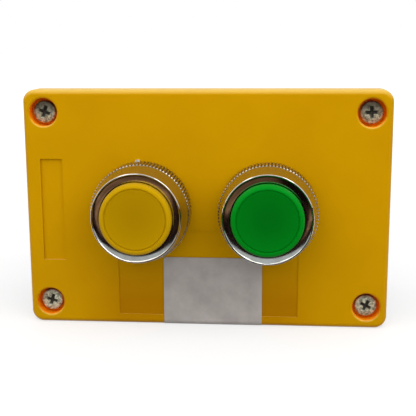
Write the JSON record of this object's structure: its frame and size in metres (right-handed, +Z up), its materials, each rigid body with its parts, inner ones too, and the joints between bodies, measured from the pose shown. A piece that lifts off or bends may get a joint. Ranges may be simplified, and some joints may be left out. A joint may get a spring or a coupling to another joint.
{
  "type": "pushbutton control station",
  "caption": "Wall box control station with a yellow and a green pushbutton in knurled metal bezels and contact blocks that change over when pressed.",
  "frame": {"origin": "middle of the wall side of the base, on the wall plane and the centre of the four wall holes", "axes": "+X along the box to the right as the operator sees it, +Z up the wall, the buttons face -Y"},
  "size_m": [0.108, 0.0668, 0.071],
  "materials": {
    "cover_plastic": "satin moulded plastic, machine yellow",
    "base_plastic": "matt moulded plastic",
    "yellow_cap_plastic": "glossy moulded plastic",
    "green_cap_plastic": "glossy moulded plastic",
    "bezel_metal": "turned and satin chromed",
    "plated_steel": "zinc plated",
    "spring_steel": "drawn wire",
    "contact_copper": "stamped copper alloy",
    "rubber_black": "moulded rubber",
    "grey_plastic": "moulded plastic",
    "natural_plastic": "unfilled moulded plastic",
    "label_film": "plain printed-white film, left blank"
  },
  "bodies": {
    "station": {"base": "base_plastic", "cover": "cover_plastic", "cover_gasket": "rubber_black", "cover_screws": "plated_steel", "blank_label": "label_film", "yellow_bezel": "bezel_metal", "yellow_sleeve": "grey_plastic", "yellow_locating_washer": "plated_steel", "yellow_panel_seal": "rubber_black", "yellow_lock_nut": "plated_steel", "yellow_return_spring": "spring_steel", "yellow_contact_holder": "grey_plastic", "yellow_contact_block": "base_plastic", "yellow_block_lid": "grey_plastic", "yellow_nc_contacts": "contact_copper", "yellow_no_contacts": "contact_copper", "yellow_terminal_screws": "plated_steel", "yellow_block_spring": "spring_steel", "green_bezel": "bezel_metal", "green_sleeve": "grey_plastic", "green_locating_washer": "plated_steel", "green_panel_seal": "rubber_black", "green_lock_nut": "plated_steel", "green_return_spring": "spring_steel", "green_contact_holder": "grey_plastic", "green_contact_block": "base_plastic", "green_block_lid": "grey_plastic", "green_nc_contacts": "contact_copper", "green_no_contacts": "contact_copper", "green_terminal_screws": "plated_steel", "green_block_spring": "spring_steel"},
    "yellow_button": {"yellow_cap": "yellow_cap_plastic", "yellow_stem": "natural_plastic", "yellow_retaining_clip": "spring_steel", "yellow_contact_plunger": "natural_plastic", "yellow_contact_spring": "spring_steel"},
    "yellow_bridge": {"yellow_contact_bridge": "contact_copper"},
    "green_button": {"green_cap": "green_cap_plastic", "green_stem": "natural_plastic", "green_retaining_clip": "spring_steel", "green_contact_plunger": "natural_plastic", "green_contact_spring": "spring_steel"},
    "green_bridge": {"green_contact_bridge": "contact_copper"}
  },
  "joints": [
    {"name": "yellow_press", "type": "slide", "parent": "station", "child": "yellow_button", "axis": [0, 1, 0], "range_m": [0, 0.0045], "stiffness_N_per_m": 800, "springref_m": -0.003, "deforming": ["yellow_return_spring", "yellow_block_spring"]},
    {"name": "yellow_bridge_slide", "type": "slide", "parent": "station", "child": "yellow_bridge", "axis": [0, 1, 0], "range_m": [0, 0.0024], "deforming": ["yellow_contact_spring"]},
    {"name": "green_press", "type": "slide", "parent": "station", "child": "green_button", "axis": [0, 1, 0], "range_m": [0, 0.0045], "stiffness_N_per_m": 800, "springref_m": -0.003, "deforming": ["green_return_spring", "green_block_spring"]},
    {"name": "green_bridge_slide", "type": "slide", "parent": "station", "child": "green_bridge", "axis": [0, 1, 0], "range_m": [0, 0.0024], "deforming": ["green_contact_spring"]}
  ],
  "couplings": [
    {"joint": "yellow_bridge_slide", "follows": "yellow_press", "ratio": 0.53333},
    {"joint": "green_bridge_slide", "follows": "green_press", "ratio": 0.53333}
  ]
}
